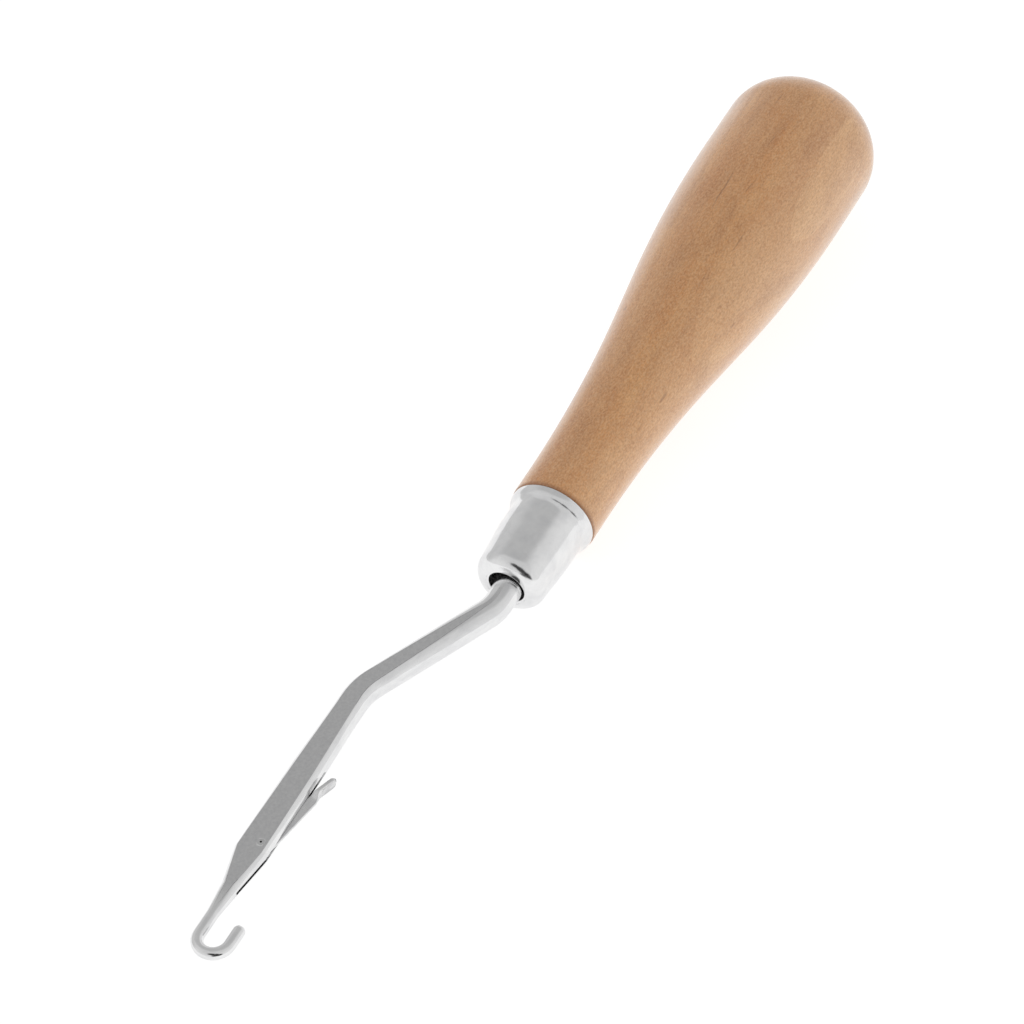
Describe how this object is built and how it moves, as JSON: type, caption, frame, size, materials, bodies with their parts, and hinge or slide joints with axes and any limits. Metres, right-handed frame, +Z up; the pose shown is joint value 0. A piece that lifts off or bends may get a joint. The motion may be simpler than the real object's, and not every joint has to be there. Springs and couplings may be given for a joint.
{
  "type": "latch hook",
  "caption": "Bent latch hook tool: turned wooden handle, plated ferrule, cranked flattened wire shank, hook and a hinged latch that closes onto the hook's tip.",
  "frame": {"origin": "centre of the bounding box's bottom face, on the level surface that the tool lies on", "axes": "+X from the butt of the handle to the hook; +Y across, to the side where the hook opens; +Z up, out of the shank's broad face. The tool lies on its belly and its hook, so its axis dips 4.2 degrees towards +X."},
  "size_m": [0.1682, 0.0227, 0.0236],
  "materials": {
    "beech": "fine-sanded beech with a thin clear lacquer",
    "nickel_plate": "bright nickel plate on drawn sheet",
    "nickel_wire": "pressed steel wire, nickel-plated, satin on the flats",
    "latch_steel": "stamped spring steel, satin",
    "pin_steel": "steel pin, peened and ground flush"
  },
  "bodies": {
    "tool": {"handle": "beech", "ferrule": "nickel_plate", "hook_shank": "nickel_wire", "latch_pin": "pin_steel"},
    "latch": {"latch": "latch_steel"}
  },
  "joints": [
    {"name": "latch_hinge", "type": "hinge", "parent": "tool", "child": "latch", "pos_m": [0.06617, -0.0082, 0.00209], "axis": [-0.0725, 0, -0.9974], "range_deg": [0, 144.5]}
  ]
}
